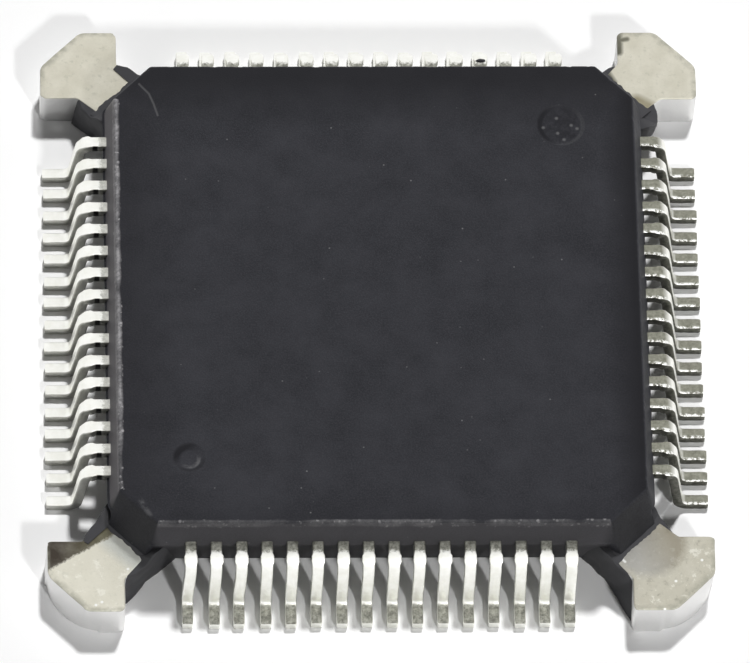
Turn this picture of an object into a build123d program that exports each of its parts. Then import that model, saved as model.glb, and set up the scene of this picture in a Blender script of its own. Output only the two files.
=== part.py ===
from build123d import *

import os
from math import radians, sqrt, tan

# A 64-lead power quad flat pack: a moulded chip on a thick copper heat slug with a tail at each corner.
# Millimetres, +Z up. The origin is the middle of the footprint, on the plane of the board.
# Heights are stacked from the board: slug, gap, lead, cover.

# Moulded body
body_side = 14.0  # across the parting line
body_corner_cut = 1.1  # leg of the cut at each corner, at the parting line
body_corner_round = 0.36  # plan radius where a cut meets a side
cover_height = 0.67  # moulding above the top of the leads
upper_draft = 18.5  # degrees
upper_shift = 0.06  # the upper half of the mould closed this far to the right
corner_block_width = 1.5  # at each corner the upper half reaches down to the tail over this width
lower_draft = 17.5  # degrees
underside_recess = 0.05  # the slug stands this far below the moulding
body_edge_round = 0.06
pin_mark_diameter = 1.2
pin_mark_depth = 0.035
index_diameter = 0.83
index_depth = 0.09
mark_offset = 4.9  # from each centre line to the middle of either mark

# Heat slug and its four tails
slug_side = 9.5  # bare square on the underside
slug_corner_round = 0.4
slug_thickness = 1.18
slug_edge_round = 0.05
flange_lip = 0.45  # the flange that locks the slug in the moulding stands out this far
flange_thickness = 0.5
tail_reach = 1.6  # past the side of the body, both ways
tail_side = 2.05
tail_corner_cut = 1.05
tail_cut_round = 0.34
tail_corner_round = 0.17
neck_width = 1.38  # where the tail leaves the body
neck_flare = 0.16  # the neck is this much wider where it meets the tail
neck_round = 0.2

# Leads
leads_per_side = 16
lead_pitch = 0.65
lead_width = 0.3
lead_thickness = 0.27
lead_gap_over_slug = 0.43
shoulder_length = 0.53  # from the body to the corner of the knee
leg_lean = 8.8  # degrees off upright
foot_length = 0.77  # from the corner of the ankle to the tip
bend_inner_radius = 0.15
dam_stub_start = 0.4  # from the body to the sheared stub of the dam bar, on the knee
dam_stub_length = 0.2
dam_stub_reach = 0.035  # past each edge of the lead

# Inner fingers
finger_gap = 0.9  # from the edge of the die to the tip of a finger
finger_tip_width = 0.24
finger_tip_length = 0.5
finger_corner_gap = 0.55  # from the corner of the ring of tips to the outermost finger
finger_root_length = 0.9  # straight stretch just inside the body

# Die and its solder
die_side = 5.6
die_thickness = 0.28
solder_thickness = 0.04
solder_margin = 0.15

# Bond wires
wire_diameter = 0.06
ball_diameter = 0.13
ball_height = 0.04
pad_inset = 0.12  # from the edge of the die to the row of pads
pad_corner_gap = 0.4  # from the corner of the die to the outermost pad
loop_cover = 0.38  # moulding over the top of the wire loops
loop_radius = 0.12
stitch_inset = 0.2  # from the tip of a finger to the middle of the stitch
stitch_length = 0.16
stitch_squash = 0.4  # share of the wire's radius that is pressed flat
stitch_bend_radius = 0.3

# Places worked out from the sizes above
half_body = body_side / 2
lead_underside = slug_thickness + lead_gap_over_slug
lead_top = lead_underside + lead_thickness
parting_height = lead_underside + lead_thickness / 2
body_top = lead_top + cover_height
solder_top = slug_thickness + solder_thickness
die_top = solder_top + die_thickness
finger_ring = die_side / 2 + finger_gap
finger_pitch = 2 * (finger_ring - finger_corner_gap) / (leads_per_side - 1)
pad_pitch = (die_side - 2 * pad_corner_gap) / (leads_per_side - 1)
side_names = ["front", "right", "back", "left"]


def row_place(index, pitch):
    """The place of one of a row of evenly spaced things, measured from the middle of the row."""
    return (index - (leads_per_side - 1) / 2) * pitch


def body_outline():
    """The plan of the body at its parting line, a square with four cut corners."""
    square = Rectangle(body_side, body_side)
    cut_square = chamfer(square.vertices(), body_corner_cut)
    return fillet(cut_square.vertices(), body_corner_round)


def parting_plane(shift, upwards):
    """The plane of the parting line, facing up or down, moved sideways by a shift."""
    return Plane(origin=(shift, 0, parting_height), x_dir=(1, 0, 0), z_dir=(0, 0, 1 if upwards else -1))


def corner_blocks():
    """The upper half's cut corners carried on down to the tails, where its parting line steps down."""
    drop = parting_height - slug_thickness
    skirt = extrude(parting_plane(upper_shift, False) * body_outline(), drop, taper=-upper_draft)
    diagonal_bar = Rectangle(4 * body_side, corner_block_width)
    cross = extrude(Rot(0, 0, 45) * (diagonal_bar + Rot(0, 0, 90) * diagonal_bar), body_top)
    return skirt & (Pos(upper_shift, 0, 0) * cross)


def solid_body():
    """The moulding as if it were solid, drafted both ways from the parting line."""
    upper = extrude(parting_plane(upper_shift, True) * body_outline(), body_top - parting_height, taper=upper_draft)
    lower_depth = parting_height - underside_recess
    lower = extrude(parting_plane(0, False) * body_outline(), lower_depth, taper=lower_draft)
    upper = fillet(upper.faces().sort_by(Axis.Z)[-1].edges(), body_edge_round)
    lower = fillet(lower.faces().sort_by(Axis.Z)[0].edges(), body_edge_round)
    return upper + lower + corner_blocks()


def top_marks():
    """The flat pin mark at the back right and the dished index mark at the front left."""
    pin_mark = Pos(mark_offset, mark_offset, body_top) * Cylinder(pin_mark_diameter / 2, 2 * pin_mark_depth)
    dish_radius = ((index_diameter / 2) ** 2 + index_depth**2) / (2 * index_depth)
    dish_height = body_top - index_depth + dish_radius
    return pin_mark + Pos(-mark_offset, -mark_offset, dish_height) * Sphere(dish_radius)


def on_diagonal(along, across):
    """A point given by its distance along the diagonal towards +X +Y, and across it."""
    return ((along - across) / sqrt(2), (along + across) / sqrt(2))


def tail_outline():
    """One corner tail with its neck, from the middle of the slug out to the cut corner of the tail."""
    outer = half_body + tail_reach
    inner = outer - tail_side
    neck_exit = sqrt(2) * half_body - body_corner_cut / sqrt(2)
    half_neck = neck_width / 2
    neck_root = inner + sqrt(2) * (half_neck + neck_flare / 2)
    corners = {
        on_diagonal(neck_exit, -half_neck): neck_round,
        (neck_root, inner): neck_round,
        (outer, inner): tail_corner_round,
        (outer, outer - tail_corner_cut): tail_cut_round,
        (outer - tail_corner_cut, outer): tail_cut_round,
        (inner, outer): tail_corner_round,
        (inner, neck_root): neck_round,
        on_diagonal(neck_exit, half_neck): neck_round,
    }
    start = on_diagonal(0, -half_neck)
    end = on_diagonal(0, half_neck)
    edge = FilletPolyline(start, *corners, end, radius=list(corners.values()))
    return make_face(edge + Line(end, start))


def heat_slug():
    """The plated copper slug: a square plate with a locking flange, and a full-thickness tail at each corner."""
    plate = RectangleRounded(slug_side, slug_side, slug_corner_round)
    for quarter in range(4):
        plate += Rot(0, 0, 90 * quarter) * tail_outline()
    flange_side = slug_side + 2 * flange_lip
    flange = RectangleRounded(flange_side, flange_side, slug_corner_round)
    flange_plane = Plane(origin=(0, 0, slug_thickness - flange_thickness))
    slug = extrude(plate, slug_thickness) + extrude(flange_plane * flange, flange_thickness)
    return fillet(slug.faces().sort_by(Axis.Z)[-1].edges(), slug_edge_round)


def die_solder():
    """The layer of solder between the slug and the die."""
    solder_side = die_side + 2 * solder_margin
    return Pos(0, 0, slug_thickness + solder_thickness / 2) * Box(solder_side, solder_side, solder_thickness)


def die():
    """The silicon die."""
    return Pos(0, 0, solder_top + die_thickness / 2) * Box(die_side, die_side, die_thickness)


def formed_lead():
    """The outer part of a lead of the front side, on x = 0: shoulder, knee, leg, ankle and foot, with its dam stub."""
    half_thickness = lead_thickness / 2
    knee_out = half_body + shoulder_length
    ankle_out = knee_out + (parting_height - half_thickness) * tan(radians(leg_lean))
    middle_line = FilletPolyline(
        (half_body, parting_height),
        (knee_out, parting_height),
        (ankle_out, half_thickness),
        (ankle_out + foot_length, half_thickness),
        radius=bend_inner_radius + half_thickness,
    )
    # On this plane the profile's first direction is -Y and its second is +Z
    profile_plane = Plane(origin=(0, 0, 0), x_dir=(0, -1, 0), z_dir=(-1, 0, 0))
    profile = profile_plane * trace(middle_line, lead_thickness)
    stub_middle = half_body + dam_stub_start + dam_stub_length / 2
    stub_slab = Pos(0, -stub_middle, parting_height) * Box(lead_pitch, dam_stub_length, 2 * lead_thickness)
    stub = extrude(profile, lead_width / 2 + dam_stub_reach, both=True) & stub_slab
    return extrude(profile, lead_width / 2, both=True) + stub


def finger(index):
    """The inner finger of a lead of the front side, which fans in from the body's side to the die."""
    root = row_place(index, lead_pitch)
    tip = row_place(index, finger_pitch)
    half_root = lead_width / 2
    half_tip = finger_tip_width / 2
    fan_start = finger_ring + finger_tip_length
    fan_end = half_body - finger_root_length
    left_edge = [
        (tip - half_tip, -finger_ring),
        (tip - half_tip, -fan_start),
        (root - half_root, -fan_end),
        (root - half_root, -half_body),
    ]
    right_edge = [
        (root + half_root, -half_body),
        (root + half_root, -fan_end),
        (tip + half_tip, -fan_start),
        (tip + half_tip, -finger_ring),
    ]
    plan = make_face(Polyline(*left_edge, *right_edge, close=True))
    return extrude(Plane(origin=(0, 0, lead_underside)) * plan, lead_thickness)


def front_leads():
    """The leads of the front side, each a single stamped and formed piece."""
    outer_part = formed_lead()
    return [Pos(row_place(index, lead_pitch), 0, 0) * outer_part + finger(index) for index in range(leads_per_side)]


def bond_wire(index):
    """One bond wire of the front side: a ball on its pad, a loop, and a stitch pressed onto its finger."""
    radius = wire_diameter / 2
    pad = Vector(row_place(index, pad_pitch), pad_inset - die_side / 2, 0)
    landing = Vector(row_place(index, finger_pitch), -finger_ring - stitch_inset, 0)
    span = (landing - pad).length
    stitch_height = lead_top + radius * (1 - stitch_squash)
    # On this plane the first direction runs from the pad to the finger and the second is +Z
    wire_plane = Plane(origin=pad, x_dir=landing - pad, z_dir=(landing - pad).cross(Vector(0, 0, 1)))
    path = FilletPolyline(
        (0, die_top),
        (0, body_top - loop_cover),
        (span - stitch_length / 2, stitch_height),
        (span + stitch_length / 2, stitch_height),
        radius=[loop_radius, stitch_bend_radius],
    )
    round_wire = sweep(Plane(origin=(0, die_top, 0), z_dir=(0, 1, 0)) * Circle(radius), path=path)
    pressed_away = Pos(span, lead_top - radius, 0) * Box(2 * stitch_length, 2 * radius, 2 * ball_diameter)
    ball = Pos(pad.X, pad.Y, die_top + ball_height / 2) * Cylinder(ball_diameter / 2, ball_height)
    return wire_plane.location * (round_wire - pressed_away) + ball


def turned(pieces, side):
    """Copies of the front side's pieces, turned to another side of the package."""
    return [Rot(0, 0, 90 * side) * piece for piece in pieces]


def grouped(pieces):
    """Separate solids that are written as one node."""
    return Compound([solid for piece in pieces for solid in piece.solids()])


def main():
    os.makedirs("parts", exist_ok=True)
    leads = front_leads()
    wires = [bond_wire(index) for index in range(leads_per_side)]
    nodes = {"heat_slug": heat_slug(), "die_solder": die_solder(), "die": die()}
    for side, side_name in enumerate(side_names):
        nodes[f"bond_wires_{side_name}"] = grouped(turned(wires, side))
        side_leads = turned(leads, side)
        for first in range(0, leads_per_side, 2):
            pair = side_leads[first : first + 2]
            nodes[f"leads_{side_name}_{first + 1:02d}_{first + len(pair):02d}"] = grouped(pair)
    # The moulding fills what the pieces in it leave free, so each of them is bedded in it face to face
    buried = [solid for node in nodes.values() for solid in node.solids()]
    nodes["moulded_body"] = (solid_body() - top_marks()) - buried
    for name, shape in nodes.items():
        export_step(shape, f"parts/{name}.step")


main()
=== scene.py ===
from math import atan2, cos, hypot, pi, radians, sin, sqrt, tan

import bpy
import numpy as np
from mathutils import Matrix, Vector, noise
from mathutils.geometry import delaunay_2d_cdt


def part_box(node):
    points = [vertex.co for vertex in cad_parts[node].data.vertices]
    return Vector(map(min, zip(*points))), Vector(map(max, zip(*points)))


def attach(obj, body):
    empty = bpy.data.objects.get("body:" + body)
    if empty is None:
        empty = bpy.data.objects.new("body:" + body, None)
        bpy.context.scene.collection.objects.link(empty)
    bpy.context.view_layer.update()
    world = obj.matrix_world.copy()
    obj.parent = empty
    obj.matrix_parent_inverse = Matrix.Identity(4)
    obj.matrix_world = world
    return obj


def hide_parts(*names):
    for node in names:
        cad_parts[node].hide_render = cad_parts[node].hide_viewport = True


# The looks of a 64-lead power quad flat pack with a thick plated slug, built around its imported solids.
# Shapes are worked out in millimetres and made in metres. +Z is up and the camera looks along +Y from above.

MM = 0.001

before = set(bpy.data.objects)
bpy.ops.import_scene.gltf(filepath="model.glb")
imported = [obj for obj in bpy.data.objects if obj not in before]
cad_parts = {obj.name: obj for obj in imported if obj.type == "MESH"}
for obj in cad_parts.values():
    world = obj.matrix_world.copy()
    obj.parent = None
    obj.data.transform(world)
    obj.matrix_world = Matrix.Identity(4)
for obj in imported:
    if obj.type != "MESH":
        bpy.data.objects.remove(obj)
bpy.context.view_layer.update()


def millimetres(corner):
    """A corner of a box of the frame, in millimetres."""
    return np.array(corner) / MM


# Places read from the frame
body_low, body_high = (millimetres(corner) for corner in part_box("moulded_body"))
slug_high = millimetres(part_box("heat_slug")[1])
row_low, row_high = (millimetres(corner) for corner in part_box("leads_front_01_02"))
body_top = body_high[2]
body_bottom = body_low[2]
slug_top = slug_high[2]
tail_outer = slug_high[0]
lead_top = row_high[2]
lead_tip = -row_low[1]
upper_shift = (body_low[0] + body_high[0]) / 2  # the upper half of the mould closed this far to the right

# Moulded body
half_body = 7.0  # at the parting line
body_corner_cut = 1.1
body_corner_round = 0.36
upper_draft = tan(radians(16.5))
lower_draft = tan(radians(17.5))
corner_block_edge = (0.62, 0.78)  # distances from the diagonal between which a corner block ends
body_edge_round = 0.06
pin_mark = (4.91, 4.98)
pin_mark_radius = 0.6
pin_mark_depth = 0.035
index_mark = (-4.9, -4.87)
index_radius = 0.415
index_depth = 0.09
scratch = [(-6.04, 6.22), (-5.79, 5.93), (-5.67, 5.62), (-5.57, 5.28)]

# Compound that crept out at the corners. Places are (along, across) a corner's diagonal, tail end first.
# Corners are counted anticlockwise from the back right one, and sides are signs of across.
web_inner_edge = 0.5
raised_webs = {(1, -1): 0.57, (2, -1): 0.62}  # the inner edge of those that climb over the edge of the neck
web_top = [(10.02, 0.74), (9.78, 0.88), (9.35, 0.93), (8.9, 0.98), (8.2, 1.0)]
web_bottom = [(10.1, 0.89), (9.7, 0.87), (9.3, 0.81), (8.85, 0.83), (8.2, 0.86)]
# A rounded dark lump beside the back right neck, wider than the other webs.
lump_top = [(9.86, 0.67), (9.73, 0.94), (9.54, 1.17), (9.29, 1.31), (9.09, 1.28), (8.8, 1.14), (8.2, 1.0)]
lump_bottom = [(10.0, 0.8), (9.9, 0.86), (9.6, 0.95), (9.35, 1.0), (9.1, 0.98), (8.8, 0.9), (8.2, 0.86)]
# The web beside the front right neck spreads wide at its foot, a dark sheet that stands for the shadow on
# the floor there.
shadow_web_top = [web_top[0], (9.9, 0.82)] + web_top[1:]
shadow_web_bottom = [(10.6, 1.38), (10.16, 1.24), (9.87, 1.13), (9.5, 1.0), (9.1, 0.9), (8.2, 0.86)]
odd_webs = {(0, -1): (lump_top, lump_bottom), (3, -1): (shadow_web_top, shadow_web_bottom)}
flash_reach = (0.27, 0.2, 0.06, 0.09)  # over the top of each neck
flash_half_width = 0.84
flash_thickness = 0.05
stray_flash = (2.91, 7.31, lead_top)
stray_flash_size = (0.13, 0.05, 0.05)

# Heat slug
corner_signs = [(1, 1), (-1, 1), (-1, -1), (1, -1)]
slug_half = 4.75
flange_half = 5.2
flange_underside = slug_top - 0.5
tail_side = 2.05
tail_corner_cut = 1.05
tail_cut_round = 0.34
tail_corner_round = 0.17
half_neck = 0.69
neck_flare = 0.16
neck_round = 0.2
slug_edge_round = 0.05
cut_bulge = 0.06  # the outer cut of a tail stands out this far at its foot
cut_corner_loss = 0.1  # and its corners are worn back this far
tail_growth = (0.0, -0.04, 0.0, 0.1)  # how far each tail's inner sides stand out
leaning_side = 0.06  # the outer side of the front left tail leans in this far

# Leads
leads_per_side = 16
lead_pitch = 0.65
lead_width = 0.3
lead_thickness = 0.27
shoulder_length = 0.53
leg_lean = tan(radians(8.8))
bend_middle_radius = 0.15 + lead_thickness / 2
dam_stub_start = 0.33  # along the middle line, on the knee
dam_stub_length = 0.14
dam_stub_reach = 0.035
lead_edge_round = 0.035
tip_squeeze = 0.012
finger_ring = 3.7
finger_pitch = 0.42
finger_tip_width = 0.24
finger_tip_length = 0.5
finger_root_length = 0.9
lead_middle = lead_top - lead_thickness / 2
side_names = ["front", "right", "back", "left"]
short_feet = (0.05, 0.0, 0.0, 0.0)  # how much shorter than nominal each row is cut
bent_feet = {0: -0.07, 1: -0.035, 2: -0.045}  # front leads whose feet were pushed sideways

# Surroundings
floor_as_light = 0.45
surround_as_light = 0.04
lamp_distance = 0.5  # in metres
floor_half = 600.0
camera_turn = (-4.994, 60.570, 4.248)  # azimuth, elevation and roll in degrees
camera_distance = 318.0
camera_target = (0.005, -0.426, 1.2)
camera_lens = 589.7


# Small tools for shapes


def wander(x, y, z, scale, seed=0.0):
    """A smooth random value from about -1 to 1 that changes over 1 / scale millimetres."""
    return noise.noise(Vector((x * scale + seed, y * scale - seed, z * scale + 2 * seed)))


def smooth_step(value, low, high):
    """0 below low, 1 above high and a smooth rise between them."""
    share = min(1.0, max(0.0, (value - low) / (high - low)))
    return share * share * (3 - 2 * share)


def rounded_outline(corners, spacing, closed=True):
    """Points along a polygon whose corners, given as (x, y, radius), are rounded by arcs."""
    points = []
    count = len(corners)
    for index in range(count):
        x, y, radius = corners[index]
        corner = np.array((x, y))
        before = np.array(corners[index - 1][:2])
        after = np.array(corners[(index + 1) % count][:2])
        if radius == 0 or (not closed and index in (0, count - 1)):
            points.append(corner)
            continue
        inwards = (before - corner) / np.linalg.norm(before - corner)
        outwards = (after - corner) / np.linalg.norm(after - corner)
        half_angle = np.arccos(np.clip(inwards @ outwards, -1, 1)) / 2
        bisector = (inwards + outwards) / np.linalg.norm(inwards + outwards)
        centre = corner + bisector * radius / sin(half_angle)
        start = corner + inwards * radius / tan(half_angle) - centre
        end = corner + outwards * radius / tan(half_angle) - centre
        first = atan2(start[1], start[0])
        turn = (atan2(end[1], end[0]) - first + pi) % (2 * pi) - pi
        steps = max(4, round(abs(turn) * radius / spacing))
        for step in range(steps + 1):
            angle = first + turn * step / steps
            points.append(centre + radius * np.array((cos(angle), sin(angle))))
    spaced = []
    last = len(points) if closed else len(points) - 1
    for index in range(last):
        start, end = points[index], points[(index + 1) % len(points)]
        pieces = max(1, round(np.linalg.norm(end - start) / spacing))
        spaced += [start + (end - start) * piece / pieces for piece in range(pieces)]
    if not closed:
        spaced.append(points[-1])
    return np.array(spaced)


def outward_normals(points):
    """The outward direction at each point of a closed outline that runs anticlockwise."""
    ahead = np.roll(points, -1, axis=0) - points
    behind = points - np.roll(points, 1, axis=0)
    ahead /= np.linalg.norm(ahead, axis=1)[:, None]
    behind /= np.linalg.norm(behind, axis=1)[:, None]
    along = ahead + behind
    along /= np.linalg.norm(along, axis=1)[:, None]
    return np.stack([along[:, 1], -along[:, 0]], axis=1)


def filled(outline, inner_points):
    """Triangles that fill an outline, as (points, faces), with the outline's points first and in order."""
    points = [Vector(p) for p in outline] + [Vector(p) for p in inner_points]
    count = len(outline)
    edges = [(i, (i + 1) % count) for i in range(count)]
    whole = [list(range(count))]
    corners, _, faces, origins, _, inside = delaunay_2d_cdt(points, edges, whole, 0, 1e-7, True)
    place_of = {source: index for index, sources in enumerate(origins) for source in sources}
    order = {place_of[i]: i for i in range(count)}
    spare = count
    for index in range(len(corners)):
        if index not in order:
            order[index] = spare
            spare += 1
    placed = [None] * spare
    for index, corner in enumerate(corners):
        placed[order[index]] = (corner[0], corner[1])
    return placed, [[order[i] for i in face] for face, within in zip(faces, inside) if within]


def grid_points(low, high, spacing, seed, keep):
    """A slightly uneven grid of points, kept where keep(x, y) is true."""
    random = np.random.default_rng(seed)
    count = max(1, round((high - low) / spacing))
    steps = np.linspace(low, high, count + 1)
    jitter = random.uniform(-0.2, 0.2, (count + 1, count + 1, 2)) * spacing
    points = []
    for row, y in enumerate(steps):
        for column, x in enumerate(steps):
            point = (x + jitter[row, column, 0], y + jitter[row, column, 1])
            if keep(*point):
                points.append(point)
    return points


def ring_points(centre, radii, spacing):
    """Points on circles round a centre."""
    points = []
    for radius in radii:
        count = max(1, round(2 * pi * radius / spacing))
        for index in range(count):
            angle = 2 * pi * (index + 0.5 * (len(points) % 2)) / count
            points.append((centre[0] + radius * cos(angle), centre[1] + radius * sin(angle)))
    return points


def rounding(radius, steps=4):
    """How far below a flat, and how far inside a side, each step of the rounded edge between them lies."""
    turns = [pi / 2 * step / steps for step in range(1, steps + 1)]
    return [(radius * (1 - sin(turn)), radius * (1 - cos(turn))) for turn in turns]


def towards(azimuth, elevation):
    """The direction of a place seen from the middle, with azimuth 0 at the front."""
    turn, rise = radians(azimuth), radians(elevation)
    return Vector((sin(turn) * cos(rise), -cos(turn) * cos(rise), sin(rise)))


def in_scene(name, data):
    """A new object in the scene."""
    piece = bpy.data.objects.new(name, data)
    bpy.context.scene.collection.objects.link(piece)
    return piece


class Skin:
    """A mesh under construction: points with a value each for worn edges and painted highlight, and faces.
    """

    def __init__(self):
        self.points = []
        self.wear_and_highlight = []
        self.faces = []

    def add_points(self, points, wear_and_highlight=None):
        first = len(self.points)
        self.points += [tuple(p) for p in points]
        self.wear_and_highlight += list(wear_and_highlight) if wear_and_highlight is not None else [0.0] * len(points)
        return list(range(first, len(self.points)))

    def join_rings(self, lower, upper):
        """Quads between two closed rings of as many points, facing outwards where they run anticlockwise."""
        count = len(lower)
        for i in range(count):
            j = (i + 1) % count
            self.faces.append((lower[i], lower[j], upper[j], upper[i]))

    def join_all(self, rings, ends=False):
        """Quads between each ring and the next, with a face on both ends if wanted."""
        for lower, upper in zip(rings, rings[1:]):
            self.join_rings(lower, upper)
        if ends:
            self.faces += [tuple(reversed(rings[0])), tuple(rings[-1])]

    def add_cap(self, ring, outline, inner_points, height, facing_up):
        """Fills a ring with triangles. height gives z at a place."""
        places, faces = filled(outline, inner_points)
        inner = places[len(ring):]
        indices = ring + self.add_points([(x, y, height(x, y)) for x, y in inner])
        for face in faces:
            corners = [indices[i] for i in face]
            around = [self.points[i] for i in corners]
            area = sum(a[0] * b[1] - b[0] * a[1] for a, b in zip(around, around[1:] + around[:1]))
            if (area > 0) != facing_up:
                corners.reverse()
            self.faces.append(tuple(corners))

    def finish(self, name, material, smooth_angle=40):
        """The mesh as an object in metres, with its material, and its values for worn edges and painted
        highlight as an attribute.
        """
        mesh = bpy.data.meshes.new(name)
        mesh.from_pydata([tuple(c * MM for c in p) for p in self.points], [], self.faces)
        mesh.validate()
        attribute = mesh.attributes.new("wear_and_highlight", "FLOAT", "POINT")
        attribute.data.foreach_set("value", np.array(self.wear_and_highlight, np.float32))
        mesh.materials.append(material)
        mesh.shade_smooth()
        mesh.set_sharp_from_angle(angle=radians(smooth_angle))
        return in_scene(name, mesh)


# Node materials


class Finish:
    """A procedural material, built with short calls. Its places are in millimetres."""

    def __init__(self, name):
        self.material = bpy.data.materials.new(name)
        self.material.use_nodes = True
        self.tree = self.material.node_tree
        self.shader = self.tree.nodes["Principled BSDF"]
        self.place = self.vector("SCALE", self.node("TexCoord").outputs["Object"], 1 / MM)
        self.normal = self.node("NewGeometry").outputs["Normal"]

    def put(self, socket, value):
        """Links an output to a socket, or sets a plain value on it."""
        if isinstance(value, bpy.types.NodeSocket):
            self.tree.links.new(value, socket)
        elif isinstance(value, tuple) and len(value) == 3 and socket.type == "RGBA":
            socket.default_value = (*value, 1)
        else:
            socket.default_value = value

    def node(self, kind, **values):
        """A new node with some inputs linked or set, with underscores for spaces in their names."""
        node = self.tree.nodes.new("ShaderNode" + kind)
        for name, value in values.items():
            self.put(node.inputs[name.replace("_", " ")], value)
        return node

    def noise(self, scale, detail=3.0, roughness=0.55):
        """Fractal noise with that many waves a millimetre."""
        node = self.node("TexNoise", Vector=self.place, Scale=scale, Detail=detail, Roughness=roughness)
        return node.outputs["Fac"]

    def cells(self, scale):
        """Distance to the nearest of a scatter of points."""
        return self.node("TexVoronoi", Vector=self.place, Scale=scale).outputs["Distance"]

    def span(self, value, low, high, to_low=0.0, to_high=1.0):
        """Maps low..high to to_low..to_high, held at both ends."""
        node = self.node("MapRange", Value=value, From_Min=low, From_Max=high, To_Min=to_low, To_Max=to_high)
        return node.outputs[0]

    def math(self, operation, first, second=0.0):
        """A sum on plain numbers."""
        node = self.node("Math")
        node.operation = operation
        self.put(node.inputs[0], first)
        self.put(node.inputs[1], second)
        return node.outputs[0]

    def mix(self, share, first, second):
        """A colour between two colours."""
        node = self.node("Mix")
        node.data_type = "RGBA"
        self.put(node.inputs["Factor"], share)
        self.put(node.inputs["A"], first)
        self.put(node.inputs["B"], second)
        return node.outputs["Result"]

    def axis(self, name):
        """One coordinate of the place."""
        return self.node("SeparateXYZ", Vector=self.place).outputs[name]

    def vector(self, operation, first, second=None):
        """A sum on vectors. A length, distance or dot product comes as a plain number."""
        node = self.node("VectorMath")
        node.operation = operation
        self.put(node.inputs[0], first)
        if operation == "SCALE":
            self.put(node.inputs["Scale"], second)
        elif second is not None:
            self.put(node.inputs[1], second)
        return node.outputs["Value" if operation in ("LENGTH", "DISTANCE", "DOT_PRODUCT") else "Vector"]

    def spot(self, centre, radius):
        """1 at a point, fading to 0 at a radius from it."""
        return self.span(self.vector("DISTANCE", self.place, centre), radius, 0.45 * radius)

    def stroke(self, start, end, width):
        """1 along a straight line between two points, fading to 0 at half a width from it."""
        run = Vector(end) - Vector(start)
        from_start = self.vector("SUBTRACT", self.place, start)
        share = self.span(self.vector("DOT_PRODUCT", from_start, run / run.length_squared), 0.0, 1.0)
        gap = self.vector("DISTANCE", from_start, self.vector("SCALE", run, share))
        return self.span(gap, 0.5 * width, 0.15 * width)

    def rim(self, centre, radius, width, direction):
        """1 along the part of a circle on the side that lies in a direction, fading to 0 beside it."""
        offset = self.vector("SUBTRACT", self.place, centre)
        gap = self.size(self.sum(self.vector("LENGTH", offset), -radius))
        side = self.span(self.vector("DOT_PRODUCT", offset, direction), 0.1 * radius, 0.8 * radius)
        return self.both(self.span(gap, 0.5 * width, 0.2 * width), side)

    def size(self, value):
        """A number without its sign."""
        return self.math("ABSOLUTE", value)

    def sum(self, *values):
        """Several numbers added up."""
        total = values[0]
        for value in values[1:]:
            total = self.math("ADD", total, value)
        return total

    def most(self, masks):
        """The largest of several masks."""
        largest = masks[0]
        for mask in masks[1:]:
            largest = self.math("MAXIMUM", largest, mask)
        return largest

    def both(self, *masks):
        """The product of several masks or shares."""
        product = masks[0]
        for mask in masks[1:]:
            product = self.math("MULTIPLY", product, mask)
        return product

    def along(self, direction):
        """How far the place lies in a direction."""
        return self.vector("DOT_PRODUCT", self.place, Vector(direction).normalized())

    def facing(self, name):
        """One coordinate of the surface's own normal."""
        return self.node("SeparateXYZ", Vector=self.normal).outputs[name]

    def attribute(self, name):
        """A value that the mesh keeps at its points."""
        node = self.node("Attribute")
        node.attribute_name = name
        return node.outputs["Fac"]

    def bump(self, *layers):
        """A normal bumped by layers, each a height of 0 to 1 and its depth in millimetres."""
        under = {}
        for height, depth in layers:
            under["Normal"] = self.node("Bump", Height=height, Distance=depth * MM, **under).outputs[0]
        return under["Normal"]

    def set(self, **values):
        """Sets the shader's inputs, with underscores for spaces."""
        for name, value in values.items():
            self.put(self.shader.inputs[name.replace("_", " ")], value)
        return self.material


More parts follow.
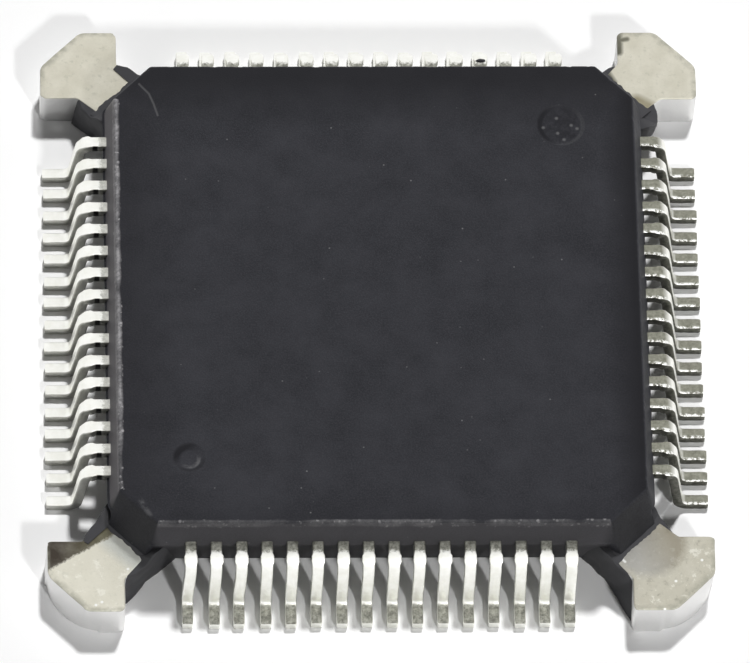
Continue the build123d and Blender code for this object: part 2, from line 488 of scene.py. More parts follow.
def mould_compound():
    """Charcoal epoxy moulding compound: mottled and specked, with painted sheen on its left and front sides,
    painted shade on its underside and towards the top's edges, and chipped, worn top edges that carry a
    painted highlight as well.
    """
    finish = Finish("mould_compound")
    span, mix, both, most = finish.span, finish.mix, finish.both, finish.most
    mottle = finish.noise(0.9, detail=6.0, roughness=0.65)
    grain = finish.noise(22.0, detail=3.0, roughness=0.7)
    clusters = span(finish.noise(1.9, detail=2.0), 0.36, 0.5, 0.35, 1.0)
    dots = span(finish.cells(7.5), 0.45, 0.2)
    speckle = both(dots, span(finish.noise(6.0, detail=1.0), 0.44, 0.52), clusters)
    base = mix(span(mottle, 0.35, 0.68), (0.0165, 0.017, 0.0205), (0.0282, 0.0287, 0.034))
    base = mix(span(grain, 0.42, 0.7, 0.0, 0.58), base, (0.048, 0.048, 0.055))
    x, y = finish.axis("X"), finish.axis("Y")
    # Painted shade: the top face darker towards its edges, most at the right and back.
    top_edge_shade = [span(x, 5.9, 6.7), span(x, -5.1, -6.4, 0.0, 0.45)]
    top_edge_shade += [span(y, 4.9, 6.3, 0.0, 0.85), span(y, -6.0, -6.6, 0.0, 0.3)]
    on_top = span(finish.facing("Z"), 0.8, 0.95)
    base = mix(both(most(top_edge_shade), on_top), base, (0.0085, 0.0085, 0.0105))
    # Painted sheen: the left side, and less the front side, paler away from the corners.
    left_side_sheen = span(finish.facing("X"), -0.8, -0.92)
    front_side_sheen = span(finish.facing("Y"), -0.8, -0.92, 0.0, 0.28)
    side = most([left_side_sheen, front_side_sheen])
    from_corner = span(finish.sum(finish.size(x), finish.size(y)), 12.9, 12.6)
    base = mix(both(side, from_corner), base, (0.2, 0.191, 0.203))
    # Painted shade: faces that look downwards darker.
    base = mix(span(finish.facing("Z"), -0.1, -0.25, 0.0, 0.6), base, (0.008, 0.008, 0.01))
    specks = span(finish.cells(2.4), 0.07, 0.03)
    few = span(finish.noise(1.7, detail=1.0), 0.5, 0.56)
    base = mix(both(specks, few, 0.6), base, (0.22, 0.22, 0.225))
    # Chips and worn top edges, partly real and partly a painted highlight that is strongest and palest on
    # the left.
    wear_and_highlight = finish.attribute("wear_and_highlight")
    chipped = both(span(wear_and_highlight, 0.25, 0.6), speckle, 0.75)
    scraped = span(finish.noise(7.0, detail=4.0, roughness=0.75), 0.4, 0.6, 0.45, 1.0)
    rubbed_and_highlit = most([both(span(wear_and_highlight, 0.4, 1.1, 0.0, 0.75), scraped), chipped])
    pale = mix(span(x, -6.0, -6.4), (0.32, 0.315, 0.32), (0.5, 0.49, 0.5))
    base = mix(rubbed_and_highlit, base, pale)
    darkened, lightened = top_marks(finish)
    base = mix(darkened, base, (0.006, 0.006, 0.008))
    base = mix(lightened, base, (0.2, 0.2, 0.205))
    rough = span(mottle, 0.3, 0.7, 0.62, 0.5)
    normal = finish.bump((grain, 0.006))
    return finish.set(Base_Color=base, Roughness=rough, Normal=normal, Specular_IOR_Level=0.2)


def top_marks(finish):
    """How far the moulding is darkened and lightened by its two marks, its scratch and its scuffs, and by
    painted shade and painted highlights in the rims of the marks and on one corner edge.
    """
    span, both, most = finish.span, finish.both, finish.most
    pin = (*pin_mark, body_top)
    index = (*index_mark, body_top)
    blots = finish.noise(5.0, detail=3.0, roughness=0.65)
    in_pin = span(finish.vector("DISTANCE", finish.place, pin), 0.48, 0.6, 0.6, 0.0)
    in_pin = both(in_pin, span(blots, 0.38, 0.6, 0.2, 1.0))
    # Painted shade in the rims of the two marks.
    pin_shade = both(finish.rim(pin, 0.54, 0.2, (-1, 0, 0)), 0.9)
    index_shade = finish.rim(index, 0.33, 0.24, (-0.7, 0.7, 0))
    index_foot = both(finish.rim(index, 0.37, 0.12, (0.2, -1, 0)), 0.6)
    shade = most([in_pin, pin_shade, index_shade, index_foot])
    # Painted highlights in the rims of the two marks.
    pin_glint = both(finish.rim(pin, 0.58, 0.14, (1, -0.4, 0)), 0.1)
    index_glint = span(blots, 0.4, 0.6, 0.1, 0.45)
    index_glint = both(finish.rim(index, 0.25, 0.13, (0.6, -0.8, 0)), index_glint)
    glints = [pin_glint, index_glint]
    specks = [(4.81, 5.19), (4.46, 4.91), (4.83, 4.74), (5.19, 4.98), (4.99, 4.55), (5.34, 4.88)]
    specks += [(-4.93, -4.83), (-4.82, -4.93)]
    for x, y in specks:
        glints.append(both(finish.spot((x, y, body_top), 0.07), 0.6))
    for start, end in zip(scratch, scratch[1:]):
        glints.append(both(finish.stroke((*start, body_top), (*end, body_top), 0.08), 0.32))
    scuff = finish.stroke((-6.16, -6.12, body_top), (-5.94, -6.55, body_top), 0.2)
    glints.append(both(scuff, span(blots, 0.4, 0.6, 0.0, 0.3)))
    # A painted highlight along the front right corner edge of the moulding.
    glints.append(both(finish.stroke((5.73, -7.0, 1.66), (5.9, -7.05, 1.2), 0.1), 0.7))
    return shade, most(glints)


def slug_plating():
    """Matt warm tin plating over copper: blotched, pitted and dented, with brown and olive patches, paler
    sides that are painted light, painted shade along the rolled edges, on the back left tail's front side
    and in patches on its top, and painted glints.
    """
    finish = Finish("slug_plating")
    span, mix, both, most = finish.span, finish.mix, finish.both, finish.most
    top = slug_top
    blotch = finish.noise(1.6, detail=5.0, roughness=0.6)
    fine = finish.noise(14.0, detail=4.0, roughness=0.7)
    pits = finish.noise(5.0, detail=5.0, roughness=0.7)
    base = mix(span(blotch, 0.36, 0.66), (0.61, 0.585, 0.485), (0.71, 0.685, 0.585))
    base = mix(span(fine, 0.5, 0.8, 0.0, 0.35), base, (0.5, 0.485, 0.4))
    base = mix(span(pits, 0.57, 0.66, 0.0, 0.4), base, (0.42, 0.42, 0.34))
    front_right = span(finish.along((1, -1, 0)), 8.0, 9.0)
    base = mix(both(front_right, 0.3), base, (0.42, 0.4, 0.33))
    fresh_corner = span(finish.along((-1, -1, 0)), 8.0, 10.0, 0.0, 0.4)
    base = mix(fresh_corner, base, (0.86, 0.84, 0.73))
    handled = finish.noise(3.4, detail=6.0, roughness=0.75)
    dents = both(front_right, span(handled, 0.44, 0.34, 0.0, 0.55))
    base = mix(dents, base, (0.27, 0.255, 0.2))
    flecks = most([both(front_right, 0.45), fresh_corner])
    base = mix(both(flecks, span(handled, 0.56, 0.62)), base, (0.97, 0.96, 0.88))
    # Painted light: the sides of the slug much paler than its top.
    side = span(finish.facing("Z"), 0.6, 0.25)
    base = mix(side, base, (0.95, 0.945, 0.935))
    x = finish.axis("X")
    # Painted shade: the front side of the back left tail darker towards the moulding.
    tail_side_shade = both(span(finish.facing("Y"), -0.4, -0.8), span(finish.axis("Y"), 5.6, 6.0))
    tail_side_shade = both(tail_side_shade, span(x, -8.5, -7.1, 0.2, 0.92), span(x, 1.0, 0.0))
    base = mix(tail_side_shade, base, (0.045, 0.045, 0.05))
    stained_and_shaded, stain_and_shade_colour = stains_and_shade(finish, fine, blotch)
    base = mix(stained_and_shaded, base, stain_and_shade_colour)
    # Painted shade along the rolled outer edges of the tails, broken up by noise.
    reach = [finish.size(finish.axis(name)) for name in "XY"]
    past_cut = span(finish.sum(*reach), 15.82, 16.04)
    past_side = span(most(reach), 8.44, 8.55)
    broken = span(finish.noise(4.0, detail=3.0), 0.4, 0.6, 0.15, 0.75)
    rolled = both(most([past_cut, past_side]), broken)
    rolled = both(rolled, span(finish.facing("Z"), 0.25, 0.45))
    base = mix(rolled, base, (0.36, 0.355, 0.29))
    # Painted highlights: glints on the front tails and a line along the edge of the front right neck.
    glints = [(-6.477, -7.372), (-7.153, -8.327), (-7.307, -8.413), (7.559, -7.763), (7.248, -8.58)]
    glints += [(6.454, -8.56), (8.248, -7.155)]
    bright = [finish.spot((x, y, top), 0.05) for x, y in glints]
    bright.append(finish.stroke((6.05, -6.96, top), (6.27, -7.2, top), 0.1))
    bright = most(bright)
    base = mix(bright, base, (0.95, 0.95, 0.92))
    rough = span(blotch, 0.3, 0.7, 0.42, 0.55)
    normal = finish.bump((blotch, 0.02), (fine, 0.006), (pits, 0.008))
    return finish.set(Base_Color=base, Metallic=0.6, Roughness=rough, Normal=normal)


def stains_and_shade(finish, fine, blotch):
    """How far the slug's top is discoloured, by real patches and by painted shade and shadow, and the colour
    there.
    """
    span, mix, both, most = finish.span, finish.mix, finish.both, finish.most
    up = span(finish.facing("Z"), 0.3, 0.7)
    top = slug_top
    ragged = span(fine, 0.3, 0.7, -0.05, 0.05)
    # The back of the front left tail, past a line from its outer edge to the moulding
    past_line = span(finish.sum(finish.along((-0.52, 0.854, 0)), 1.9, ragged), -0.03, 0.05)
    front_left = span(finish.vector("DISTANCE", finish.place, (-7.75, -6.7, top)), 1.4, 1.25)
    front_left = both(past_line, front_left)
    towards_body = span(finish.axis("X"), -8.2, -7.2)
    brown = mix(towards_body, (0.05, 0.04, 0.03), (0.13, 0.12, 0.075))
    # Painted shadow along the inner edge of the back right tail and beside its neck
    shadow_strips = most([
        finish.stroke((6.6, 8.566, top), (6.6, 7.986, top), 0.3),
        finish.stroke((6.669, 8.352, top), (6.828, 8.383, top), 0.2),
        finish.stroke((6.244, 7.377, top), (6.418, 7.073, top), 0.3),
    ])
    brass = finish.stroke((7.02, 6.5, top), (7.35, 6.3, top), 0.55)
    # Painted shade from the moulding's corner on the front right tail, grey by the neck and browner further
    # right, and a cool patch on the front left
    from_neck = finish.vector("DISTANCE", finish.place, (6.85, -6.6, top))
    corner_shade = span(finish.sum(from_neck, both(ragged, 1.5)), 0.85, 1.15, 0.75, 0.0)
    cool = both(finish.stroke((-6.95, -6.5, top), (-6.2, -7.2, top), 0.8), 0.7)
    share = most([front_left, both(shadow_strips, 0.9), both(brass, 0.8), corner_shade, cool])
    colour = mix(span(front_left, 0.0, 0.3), (0.56, 0.585, 0.56), brown)
    towards_side = span(finish.along((1, 0.4, 0)), 3.5, 4.5)
    corner_shade_colour = mix(towards_side, (0.42, 0.415, 0.4), (0.27, 0.24, 0.18))
    colour = mix(span(corner_shade, 0.0, 0.2), colour, corner_shade_colour)
    colour = mix(span(brass, 0.0, 0.3), colour, (0.2, 0.17, 0.085))
    colour = mix(span(shadow_strips, 0.0, 0.3), colour, (0.075, 0.075, 0.05))
    return both(share, up, span(blotch, 0.3, 0.6, 0.85, 1.0)), colour


def lead_plating():
    """Satin tin plating over copper: grey at the roots, with painted shade that greys the tops of the front
    feet, turns the right row's tops olive grey and darkens the front sides of the right and left rows, black
    spots by the left roots, and painted glints along the right row's top edges.
    """
    finish = Finish("lead_plating")
    span, mix, both, most = finish.span, finish.mix, finish.both, finish.most
    blotch = finish.noise(3.0, detail=4.0, roughness=0.6)
    mottle = finish.noise(9.0, detail=5.0, roughness=0.75)
    fine = finish.noise(20.0, detail=4.0, roughness=0.7)
    x, y, z = (finish.axis(name) for name in "XYZ")
    up = span(finish.facing("Z"), 0.6, 0.9)
    to_front = span(finish.facing("Y"), -0.4, -0.75)
    in_right_row = span(x, 6.5, 6.9)
    in_left_row = span(x, -6.5, -6.9)
    out = finish.sum(most([finish.size(x), finish.size(y)]), -half_body)
    pale = mix(span(blotch, 0.35, 0.65), (0.9, 0.9, 0.84), (0.99, 0.99, 0.95))
    grey = mix(span(mottle, 0.38, 0.62), (0.12, 0.12, 0.095), (0.42, 0.42, 0.36))
    olive = mix(span(mottle, 0.34, 0.66), (0.2, 0.2, 0.16), (0.36, 0.36, 0.3))
    dark = mix(span(mottle, 0.36, 0.64), (0.07, 0.07, 0.055), (0.17, 0.17, 0.145))
    ragged = span(mottle, 0.3, 0.7, -0.06, 0.06)
    from_root = finish.sum(out, ragged, both(in_left_row, 0.16))
    root = both(span(from_root, 0.2, 0.28, 0.9, 0.0), span(in_left_row, 0.0, 1.0, 1.0, 0.6))
    # Painted shade: the tops of the front feet grey and the tops of the right row olive grey.
    front_foot_shade = both(span(finish.sum(y, ragged), -7.76, -7.82), span(z, 0.45, 0.38), up, 0.9)
    base = mix(most([front_foot_shade, root]), pale, grey)
    base = mix(both(in_right_row, up), base, olive)
    # Painted shade on the front sides of the right row and, less, of the left row.
    shaded = both(most([in_right_row, both(in_left_row, 0.6)]), to_front)
    base = mix(shaded, base, dark)
    # A black spot painted on the front side of each left lead by its root.
    root_spot = span(finish.size(finish.sum(out, -0.19)), 0.09, 0.05)
    base = mix(both(root_spot, in_left_row, to_front), base, (0.01, 0.01, 0.01))
    # Painted highlights: broken glints along the front top edges of the right row.
    edge = span(finish.math("FLOORED_MODULO", y, lead_pitch), 0.255, 0.225)
    edge = both(edge, span(finish.facing("Z"), 0.3, 0.5))
    edge_glints = both(edge, in_right_row, span(mottle, 0.47, 0.53))
    base = mix(edge_glints, base, (0.98, 0.98, 0.95))
    rough = span(fine, 0.3, 0.7, 0.3, 0.45)
    normal = finish.bump((blotch, 0.015), (fine, 0.004), (mottle, 0.008))
    return finish.set(Base_Color=base, Metallic=1.0, Roughness=rough, Normal=normal)


def silicon():
    """Polished grey silicon with a faint block pattern of light and dark."""
    finish = Finish("silicon")
    blocks = finish.cells(1.2)
    base = finish.mix(finish.span(blocks, 0.2, 0.7), (0.1, 0.1, 0.12), (0.16, 0.16, 0.19))
    return finish.set(Base_Color=base, Metallic=0.4, Roughness=0.2)


def solder():
    """Dull grey solder."""
    finish = Finish("solder")
    frost = finish.noise(6.0, detail=5.0)
    base = finish.mix(finish.span(frost, 0.3, 0.7), (0.36, 0.36, 0.37), (0.5, 0.5, 0.5))
    return finish.set(Base_Color=base, Metallic=0.8, Roughness=0.5, Normal=finish.bump((frost, 0.01)))


def gold_wire():
    """Bright drawn gold with fine draw marks."""
    finish = Finish("gold_wire")
    marks = finish.noise(18.0, detail=2.0)
    base = finish.mix(finish.span(marks, 0.3, 0.7), (0.78, 0.56, 0.18), (0.87, 0.67, 0.27))
    return finish.set(Base_Color=base, Metallic=1.0, Roughness=0.22)


# The moulded body


def body_plan():
    """The outline of the body at its parting line."""
    near = half_body - body_corner_cut
    quarter = [(half_body, -near), (half_body, near), (near, half_body), (-near, half_body)]
    corners = quarter + [(-x, -y) for x, y in quarter]
    return rounded_outline([(x, y, body_corner_round) for x, y in corners], 0.06)


def corner_block_share(x, y):
    """1 in the diagonal bars where the upper half reaches down to the tails, and 0 beside them."""
    return 1 - smooth_step(min(abs(x - y), abs(x + y)) / sqrt(2), *corner_block_edge)


def body_wall(plan, normals, z):
    """The ring of the body's side at a height, as the mould's two halves give it."""
    above = z - lead_middle
    points = []
    for (x, y), (nx, ny) in zip(plan, normals):
        upper = 1.0 if above >= 0 else corner_block_share(x, y) if z >= slug_top else 0.0
        reach = -above * upper_draft * upper + above * lower_draft * (1 - upper)
        points.append((x + nx * reach + upper_shift * upper, y + ny * reach))
    return np.array(points)


def nick(x, y, z):
    """How deep the edge is chipped at a place, in millimetres."""
    broad = wander(x, y, z, 1.3, 3.7)
    small = wander(x, y, z, 7.0, 9.1)
    return 0.016 * smooth_step(small + 0.5 * broad, 0.15, 0.75)


def edge_wear_and_highlight(nx, ny):
    """How worn the top edge is on the side that faces that way, with a painted highlight that makes the left
    and front edges the brightest.
    """
    if nx < -0.9:
        return 1.2
    if ny < -0.9:
        return 0.8
    return 0.05


def from_line(x, y, start, end):
    """The distance of a place from a straight line between two places."""
    run = (end[0] - start[0], end[1] - start[1])
    share = ((x - start[0]) * run[0] + (y - start[1]) * run[1]) / (run[0] ** 2 + run[1] ** 2)
    share = min(1.0, max(0.0, share))
    return hypot(x - start[0] - share * run[0], y - start[1] - share * run[1])


def from_scratch(x, y):
    """The distance of a place on the top face from its scratch."""
    return min(from_line(x, y, start, end) for start, end in zip(scratch, scratch[1:]))


def top_height(x, y):
    """The height of the top face, with its marks, a scratch and a faint unevenness."""
    height = body_top - 0.002 * (1 + wander(x, y, 0, 0.5, 1.3))
    height -= 0.012 * (1 - smooth_step(from_scratch(x, y), 0.0, 0.05))
    from_pin = hypot(x - pin_mark[0], y - pin_mark[1])
    height -= pin_mark_depth * (1 - smooth_step(from_pin, pin_mark_radius - 0.03, pin_mark_radius + 0.02))
    from_index = hypot(x - index_mark[0], y - index_mark[1])
    if from_index < index_radius:
        height -= index_depth * (1 - (from_index / index_radius) ** 2) ** 0.8
    return height


def moulding():
    """The outside of the moulded body, from the middle of its underside round to its marked top."""
    skin = Skin()
    plan = body_plan()
    normals = outward_normals(plan)
    heights = [(body_bottom + rise, inset) for rise, inset in reversed(rounding(body_edge_round))]
    wall = list(np.linspace(body_bottom + body_edge_round, slug_top - 0.012, 12)) + [slug_top]
    wall += list(np.linspace(slug_top + 0.06, lead_middle - 0.012, 7))
    wall += list(np.linspace(lead_middle, body_top - body_edge_round, 11))
    heights += [(z, 0.0) for z in wall]
    heights += [(body_top - drop, inset) for drop, inset in rounding(body_edge_round)]
    heights += [(body_top, body_edge_round + 0.05), (body_top, body_edge_round + 0.1)]
    rings = []
    outlines = []
    for z, inset in heights:
        outline = body_wall(plan, normals, z)
        near_top = smooth_step(z, body_top - 0.3, body_top - 0.1)
        points = []
        wear_and_highlight = []
        for (x, y), (nx, ny) in zip(outline, normals):
            depth = nick(x, y, z) * near_top + 0.0025 * (1 + wander(x, y, z, 5.0, 2.2))
            inward = inset + depth
            drop = 0.5 * depth * near_top
            x, y = x - nx * inward, y - ny * inward
            points.append((x, y, z - drop))
            spread = 0.19 if nx < -0.9 else 0.12
            rubbed_and_highlit = near_top * (1 - smooth_step(inset, body_edge_round - 0.02, spread))
            wear_and_highlight.append(rubbed_and_highlit * edge_wear_and_highlight(nx, ny) * (0.8 + 0.5 * wander(x, y, z, 2.2, 5.5)))
        rings.append(skin.add_points(points, wear_and_highlight))
        outlines.append([p[:2] for p in points])
    skin.join_all(rings)

    half = half_body - 0.5

    def clear_of_marks(x, y):
        inside = max(abs(x - upper_shift), abs(y)) < half and abs(x - upper_shift) + abs(y) < 2 * half - 0.75
        from_pin = hypot(x - pin_mark[0], y - pin_mark[1]) > pin_mark_radius + 0.12
        from_index = hypot(x - index_mark[0], y - index_mark[1]) > index_radius + 0.12
        return inside and from_pin and from_index and from_scratch(x, y) > 0.1

    pin_radii = [0.12, 0.26, 0.4, 0.5]
    pin_radii += [*np.linspace(pin_mark_radius - 0.05, pin_mark_radius + 0.04, 7), 0.7]
    index_radii = list(np.linspace(0.04, index_radius - 0.02, 10))
    index_radii += [index_radius + step for step in (-0.008, 0.004, 0.03, 0.08)]
    top_points = grid_points(-half, half, 0.17, 11, clear_of_marks)
    top_points += ring_points(pin_mark, pin_radii, 0.055) + ring_points(index_mark, index_radii, 0.035)
    scratch_line = rounded_outline([(x, y, 0) for x, y in scratch], 0.04, closed=False)
    top_points += [(x + offset, y) for x, y in scratch_line for offset in (-0.06, -0.03, 0.0, 0.03, 0.06)]
    skin.add_cap(rings[-1], outlines[-1], top_points, top_height, True)
    under_points = grid_points(-6.2, 6.2, 0.5, 12, lambda x, y: abs(x) + abs(y) < 11.4)
    skin.add_cap(rings[0], outlines[0], under_points, lambda x, y: body_bottom, False)
    piece = skin.finish("moulding", mould_compound())
    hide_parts("moulded_body")
    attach(piece, "root")


# The heat slug


def on_diagonal(along, across):
    """A point given by its distance along the diagonal towards +X +Y, and across it."""
    return ((along - across) / sqrt(2), (along + across) / sqrt(2))


def turned(points, quarter):
    """Points turned by quarter turns about the middle."""
    for _ in range(quarter % 4):
        points = [(-p[1], p[0], *p[2:]) for p in points]
    return points


def tail_line(root):
    """The dense outline of one tail, from one edge of the neck at x = root to the other at y = root."""
    inner = tail_outer - tail_side
    neck_exit = sqrt(2) * half_body - body_corner_cut / sqrt(2)
    neck_root = inner + sqrt(2) * (half_neck + neck_flare / 2)
    beside = root - sqrt(2) * half_neck
    half = [
        (root, beside, 0),
        (*on_diagonal(neck_exit, -half_neck), neck_round),
        (neck_root, inner, neck_round),
        (tail_outer, inner, tail_corner_round),
        (tail_outer, tail_outer - tail_corner_cut, tail_cut_round),
    ]
    mirrored = [(y, x, radius) for x, y, radius in reversed(half)]
    return [tuple(p) for p in rounded_outline(half + mirrored, 0.055, closed=False)]


def slug_plan(with_flange):
    """The outline of the slug above the underside of its flange, or below it."""
    outline = []
    for quarter in range(4):
        tail = tail_line(flange_half)
        if not with_flange:
            beside = slug_half - sqrt(2) * half_neck
            tail = [(slug_half, beside)] + tail + [(beside, slug_half)]
        outline += turned(tail, quarter)
    return np.array(outline)


def stamped(outline, normals, z, inset):
    """A ring of the slug's side, with the slight waves of a stamped and plated edge."""
    points = []
    height = z / slug_top
    for (x, y), (nx, ny) in zip(outline, normals):
        out = max(abs(x), abs(y)) > half_body - 0.6
        depth = inset + (0.004 * (1 + wander(x, y, z, 2.5, 6.1)) if out else 0.0)
        if out:
            corner = corner_signs.index((np.sign(x), np.sign(y)))
            turn = min(nx * np.sign(x), ny * np.sign(y))
            depth -= tail_growth[corner] * smooth_step(-turn, 0.2, 0.6)
            if corner == 2:
                depth += leaning_side * smooth_step(-nx, 0.5, 0.9) * height
        if abs(x) + abs(y) > tail_outer + tail_outer - tail_corner_cut - 0.3:
            from_middle = abs(abs(x) - abs(y)) / sqrt(2)
            depth -= cut_bulge * (1 - smooth_step(from_middle, 0.0, 0.5)) * (1 - height)
            depth += cut_corner_loss * (1 - smooth_step(abs(from_middle - 0.76), 0.0, 0.4)) * (1 - height)
        points.append((*np.clip((x - nx * depth, y - ny * depth), -tail_outer, tail_outer), z))
    return points


def plated_slug():
    """The plated copper slug: plate, locking flange and four tails with rolled stamped edges."""
    skin = Skin()
    lower_plan = slug_plan(False)
    upper_plan = slug_plan(True)
    lower_normals = outward_normals(lower_plan)
    upper_normals = outward_normals(upper_plan)
    foot_round = 0.02
    lower_rings = []
    levels = [(0.0, foot_round), (0.3 * foot_round, 0.3 * foot_round), (foot_round, 0.0)]
    levels += [(z, 0.0) for z in np.linspace(foot_round, flange_underside, 7)[1:]]
    for z, inset in levels:
        lower_rings.append(skin.add_points(stamped(lower_plan, lower_normals, z, inset)))
    skin.join_all(lower_rings)
    tail_count = len(tail_line(flange_half))
    step = tail_count + 2
    shared = []
    for quarter in range(4):
        shared += lower_rings[-1][quarter * step + 1: quarter * step + 1 + tail_count]
    for quarter in range(4):
        this_end = lower_rings[-1][quarter * step + step - 1]
        next_start = lower_rings[-1][((quarter + 1) % 4) * step]
        flange_end = shared[quarter * tail_count + tail_count - 1]
        flange_start = shared[((quarter + 1) % 4) * tail_count]
        skin.faces.append((this_end, next_start, flange_start, flange_end))
    upper_rings = [shared]
    upper_outlines = []
    levels = [(z, 0.0) for z in np.linspace(flange_underside, slug_top - slug_edge_round, 6)[1:]]
    levels += [(slug_top - drop, inset) for drop, inset in rounding(slug_edge_round)]
    for z, inset in levels:
        points = stamped(upper_plan, upper_normals, z, inset)
        upper_outlines.append([p[:2] for p in points])
        upper_rings.append(skin.add_points(points))
    skin.join_all(upper_rings)

    def on_tail(x, y):
        inner = tail_outer - tail_side + 0.13
        outer = tail_outer - 0.13
        x, y = abs(x), abs(y)
        inside = min(x, y) > inner and max(x, y) < outer
        return inside and x + y < 2 * tail_outer - tail_corner_cut - 0.2

    def plate_top(x, y):
        return slug_top - 0.003 * (1 + wander(x, y, 0, 1.5, 8.8))

    tail_points = grid_points(-8.5, 8.5, 0.1, 21, on_tail)
    skin.add_cap(upper_rings[-1], upper_outlines[-1], tail_points, plate_top, True)
    bottom_outline = [skin.points[i][:2] for i in lower_rings[0]]
    inner_points = grid_points(-8.5, 8.5, 0.5, 22, lambda x, y: max(abs(x), abs(y)) < 4.6 or on_tail(x, y))
    skin.add_cap(lower_rings[0], bottom_outline, inner_points, lambda x, y: 0.0, False)
    piece = skin.finish("plated_slug", slug_plating())
    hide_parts("heat_slug")
    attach(piece, "root")


# Moulding compound that crept out at the corners


def divided(corners, pieces):
    """Points that divide each side of a polygon into as many pieces."""
    points = []
    for index, corner in enumerate(corners):
        start, end = np.array(corner), np.array(corners[(index + 1) % len(corners)])
        points += [start + (end - start) * piece / pieces for piece in range(pieces)]
    return np.array(points)


def add_web(skin, corner, side):
    """A web beside a neck, on the side of the diagonal where across has that sign."""
    top_edge, bottom_edge = odd_webs.get((corner, side), (web_top, web_bottom))
    edges = []
    inner_edge = raised_webs.get((corner, side), web_inner_edge)
    for outer in (bottom_edge, top_edge):
        inner = [(outer[-1][0], inner_edge), (outer[0][0] - 0.02, inner_edge)]
        edges.append(divided(inner + outer, 8))
    low, high = 0.012, slug_top + (0.03 if (corner, side) in raised_webs else -0.02)
    crown = 0.12
    levels = [(z, 0.0) for z in np.linspace(low, high - crown, 12)]
    turns = np.linspace(0.3, 1.3, 4)
    levels += [(high - crown * (1 - sin(turn)), 0.5 * crown * (1 - cos(turn))) for turn in turns]
    rings = []
    for z, inset in levels:
        ring = []
        for point in edges[0] + (edges[1] - edges[0]) * z / slug_top:
            along, across = point
            outside = smooth_step(across, web_inner_edge, web_inner_edge + 0.2)
            lump = 0.03 * wander(along, side * across, z, 4.0, 3.3 + corner)
            across += outside * (lump - inset)
            by_body = 1 - smooth_step(along, 9.05, 9.5)
            climb = 0.3 * (z / high) ** 3 * by_body * smooth_step(across, 0.6, 0.85)
            ring.append((*on_diagonal(along, side * across), z + climb))
        if side < 0:
            ring.reverse()
        rings.append(skin.add_points(turned(ring, corner)))
    skin.join_all(rings)
    for ring, facing_up in ((rings[0], False), (rings[-1], True)):
        skin.add_cap(ring, [skin.points[i][:2] for i in ring], [], None, facing_up)


def add_flash(skin, corner):
    """The thin ragged lip of compound over the top of a neck, where the moulding ends."""
    join = sqrt(2) * half_body - body_corner_cut / sqrt(2) + (lead_middle - slug_top) * upper_draft
    join += upper_shift / sqrt(2) * (1 if corner in (0, 3) else -1)
    start = join - 0.3
    rings = []
    for across in np.linspace(-flash_half_width, flash_half_width, 60):
        ragged = 0.5 * wander(across, corner, 0, 2.2, 4.4) + 0.35 * wander(across, corner, 0, 9.0, 1.7)
        end = join + flash_reach[corner] + 0.12 * ragged
        thickness = flash_thickness * (1 + 0.4 * wander(across, corner, 0, 5.0, 7.7))
        low = slug_top - 0.03
        profile = [(start, low), (start, slug_top + 2 * thickness)]
        for share in (0.3, 0.6, 0.85, 0.97):
            height = thickness * (2 - share) * (1 - share ** 4)
            profile.append((start + (end - start) * share, slug_top + height))
        profile += [(end, slug_top - 0.01), (end - 0.02, low)]
        points = [(*on_diagonal(along, across), z) for along, z in profile]
        rings.append(skin.add_points(turned(points, corner)))
    skin.join_all(rings, ends=True)


def add_crumb(skin, centre, size):
    """A small uneven crumb of compound."""
    rings = []
    for rise in np.linspace(-1.35, 1.35, 7):
        ring = []
        for turn in np.linspace(0, 2 * pi, 16, endpoint=False):
            x, y, z = cos(turn) * cos(rise), sin(turn) * cos(rise), sin(rise)
            swell = 1 + 0.35 * wander(x, y, z, 1.7, 2.9)
            ring.append(np.array(centre) + np.array(size) * (x, y, z) * swell)
        rings.append(skin.add_points(ring))
    skin.join_all(rings, ends=True)


def crept_compound():
    """Webs beside the necks, a rounded lump beside the back right neck, a web spread wide at the foot of the
    front right neck as a dark sheet that stands for its shadow, flash over the necks and one crumb on a
    lead.
    """
    skin = Skin()
    for corner in range(4):
        add_web(skin, corner, 1)
        add_web(skin, corner, -1)
        add_flash(skin, corner)
    add_crumb(skin, stray_flash, stray_flash_size)
    piece = skin.finish("crept_compound", bpy.data.materials["mould_compound"])
    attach(piece, "root")


# The leads


def lead_path():
    """The middle line of a lead, as places (out, up) and directions, from the body to the tip."""
    half_thickness = lead_thickness / 2
    knee_out = half_body + shoulder_length
    ankle_out = knee_out + (lead_middle - half_thickness) * leg_lean
    corners = [
        (half_body - 0.02, lead_middle, 0),
        (knee_out, lead_middle, bend_middle_radius),
        (ankle_out, half_thickness, bend_middle_radius),
        (lead_tip, half_thickness, 0),
    ]
    line = rounded_outline(corners, 0.055, closed=False)
    along = np.gradient(line, axis=0)
    return line, along / np.linalg.norm(along, axis=1)[:, None]


def section(width, thickness, edge_round, steps):
    """A rounded rectangle, as (across, up) points, clockwise seen from the tip."""
    half_width, half_thick = width / 2, thickness / 2
    signs = [(1, -1), (1, 1), (-1, 1), (-1, -1)]
    corners = [(x * half_width, y * half_thick) for x, y in signs]
    points = []
    for index, (x, y) in enumerate(corners):
        centre = (x - np.sign(x) * edge_round, y - np.sign(y) * edge_round)
        first = -pi / 2 + index * pi / 2
        for step in range(steps + 1):
            angle = first + pi / 2 * step / steps
            points.append((centre[0] + edge_round * cos(angle), centre[1] + edge_round * sin(angle)))
    return points


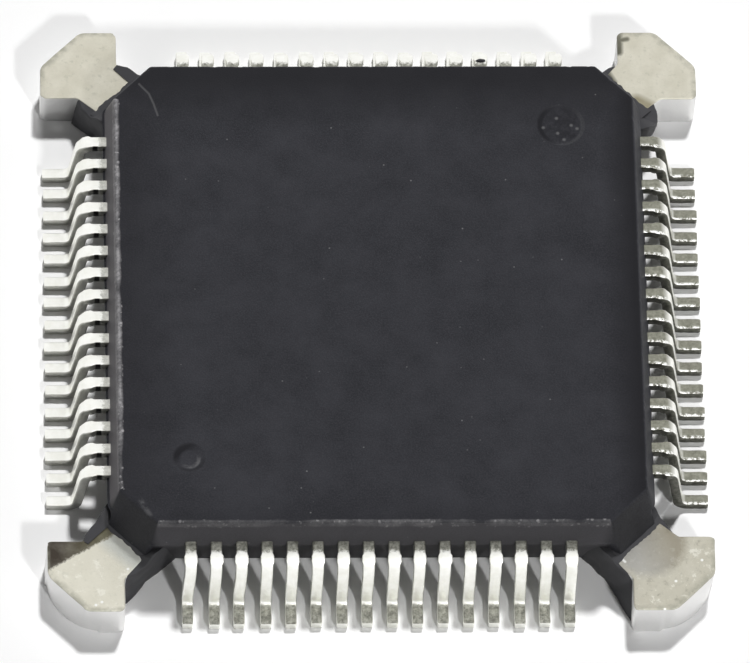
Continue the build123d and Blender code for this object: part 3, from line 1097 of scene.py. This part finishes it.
def add_lead(skin, index, side):
    """One whole lead, from the tip of its inner finger to the tip of its foot."""
    random = np.random.default_rng(1000 + 100 * side + index)
    root = (index - (leads_per_side - 1) / 2) * lead_pitch
    finger_tip = (index - (leads_per_side - 1) / 2) * finger_pitch
    foot_drift = random.uniform(-0.018, 0.018) + (bent_feet.get(index, 0.0) if side == 0 else 0.0)
    foot_short = short_feet[side] + random.uniform(0.0, 0.03)
    line, along = lead_path()
    fan_start = finger_ring + finger_tip_length
    fan_end = half_body - finger_root_length
    stations = [
        (finger_tip, finger_ring, lead_middle, (1, 0), finger_tip_width, 0.0),
        (finger_tip, fan_start, lead_middle, (1, 0), finger_tip_width, 0.0),
        (root, fan_end, lead_middle, (1, 0), lead_width, 0.0),
    ]
    stub_start = half_body + dam_stub_start
    stub_end = stub_start + dam_stub_length
    stub_left, stub_right = dam_stub_reach * random.uniform(0.4, 1.1, 2)
    for (out, up), (run, rise) in zip(line, along):
        down = smooth_step(lead_middle - up, 0.1, lead_middle - 0.3)
        stub = smooth_step(out, stub_start - 0.04, stub_start + 0.01)
        stub *= 1 - smooth_step(out, stub_end - 0.02, stub_end + 0.03)
        width = lead_width + (stub_left + stub_right) * stub
        middle = root + foot_drift * down + (stub_right - stub_left) / 2 * stub
        foot = smooth_step(out, lead_tip - 0.5, lead_tip)
        stations.append((middle, out - foot_short * foot, up, (run, rise), width, down))
    rings = []
    for number, (x, out, up, (run, rise), width, down) in enumerate(stations):
        squeeze = tip_squeeze if number == len(stations) - 1 else 0.0
        ring = []
        for across, over in section(width - 2 * squeeze, lead_thickness - 2 * squeeze, lead_edge_round, 3):
            place = (x + across, -(out - over * rise), up + over * run)
            rough = 0.002 + 0.003 * down
            shrink = rough * (1 + wander(*place, 6.0, 0.37 * index + side)) if number > 2 else 0.0
            scale = 1 - shrink / (lead_width / 2)
            ring.append((x + across * scale, -(out - over * scale * rise), up + over * scale * run))
        rings.append(skin.add_points(turned(ring, side)))
    skin.join_all(rings[::-1], ends=True)


def lead_pairs():
    """The plated leads, two to a piece as in the frame."""
    plating = lead_plating()
    for side, side_name in enumerate(side_names):
        for first in range(0, leads_per_side, 2):
            skin = Skin()
            add_lead(skin, first, side)
            add_lead(skin, first + 1, side)
            pair_name = f"{side_name}_{first + 1:02d}_{first + 2:02d}"
            piece = skin.finish(f"plated_leads_{pair_name}", plating, 50)
            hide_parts(f"leads_{pair_name}")
            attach(piece, "root")


# Surroundings


def seen_or_mirrored(tree):
    """1 for what is seen, straight, mirrored or through something clear, and 0 for what only gives light."""
    path = tree.nodes.new("ShaderNodeLightPath")
    seen = path.outputs["Is Camera Ray"]
    for kind in ("Is Glossy Ray", "Is Transmission Ray"):
        either = tree.nodes.new("ShaderNodeMath")
        either.operation = "MAXIMUM"
        tree.links.new(seen, either.inputs[0])
        tree.links.new(path.outputs[kind], either.inputs[1])
        seen = either.outputs[0]
    return seen


def floor():
    """A plain pale floor that keeps the object's shadow."""
    skin = Skin()
    skin.faces.append(tuple(skin.add_points([(x * floor_half, y * floor_half, 0) for x, y in corner_signs])))
    finish = Finish("pale_floor")
    pale = finish.mix(seen_or_mirrored(finish.tree), (floor_as_light,) * 3, (1.0, 1.0, 1.0))
    skin.finish("floor", finish.set(Base_Color=pale, Roughness=0.9, Specular_IOR_Level=0.0))


def surroundings():
    """An even pale surround: white where it is seen or mirrored, and softer as light."""
    world = bpy.data.worlds.new("surround")
    bpy.context.scene.world = world
    world.use_nodes = True
    tree = world.node_tree
    background = tree.nodes["Background"]
    background.inputs["Color"].default_value = (1, 1, 1, 1)
    strength = tree.nodes.new("ShaderNodeMapRange")
    strength.inputs["To Min"].default_value = surround_as_light
    strength.inputs["To Max"].default_value = 1.0
    tree.links.new(seen_or_mirrored(tree), strength.inputs["Value"])
    tree.links.new(strength.outputs[0], background.inputs["Strength"])


def lamp(name, azimuth, elevation, size, share, mirrored):
    """A soft lamp that lights an upward face with a share of the plain level."""
    data = bpy.data.lights.new(name, "AREA")
    data.shape = "DISK"
    data.size = size
    data.energy = share * pi * pi * lamp_distance ** 2 / sin(radians(elevation))
    piece = in_scene(name, data)
    back = towards(azimuth, elevation)
    piece.location = back * lamp_distance
    piece.rotation_mode = "QUATERNION"
    piece.rotation_quaternion = back.to_track_quat("Z", "Y")
    piece.visible_glossy = mirrored


def camera():
    """The camera at the photograph's viewing angle, with a long lens from a short way off."""
    azimuth, elevation, roll = camera_turn
    back = towards(azimuth, elevation)
    right = Vector((cos(radians(azimuth)), sin(radians(azimuth)), 0))
    up = back.cross(right)
    data = bpy.data.cameras.new("camera")
    data.sensor_width = 36
    data.lens = camera_lens
    data.clip_start = 0.01
    data.clip_end = 5
    piece = in_scene("camera", data)
    across = right * cos(radians(roll)) + up * sin(radians(roll))
    upright = up * cos(radians(roll)) - right * sin(radians(roll))
    place = Vector(camera_target) + back * camera_distance
    turn = Matrix((across, upright, back)).transposed().to_4x4()
    piece.matrix_world = Matrix.Translation(place * MM) @ turn
    bpy.context.scene.camera = piece


def dress_hidden_nodes():
    """Gives each node that stays inside the moulding its own finish."""
    gold = gold_wire()
    finishes = {"die": silicon(), "die_solder": solder()}
    finishes.update({f"bond_wires_{side_name}": gold for side_name in side_names})
    for name, material in finishes.items():
        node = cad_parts[name]
        node.data.materials.clear()
        node.data.materials.append(material)


camera()
surroundings()
lamp("key", azimuth=27, elevation=40, size=0.04, share=0.21, mirrored=True)
lamp("back", azimuth=162, elevation=62, size=0.05, share=0.72, mirrored=False)
floor()
moulding()
plated_slug()
crept_compound()
lead_pairs()
dress_hidden_nodes()
bpy.context.scene.view_settings.view_transform = "Standard"
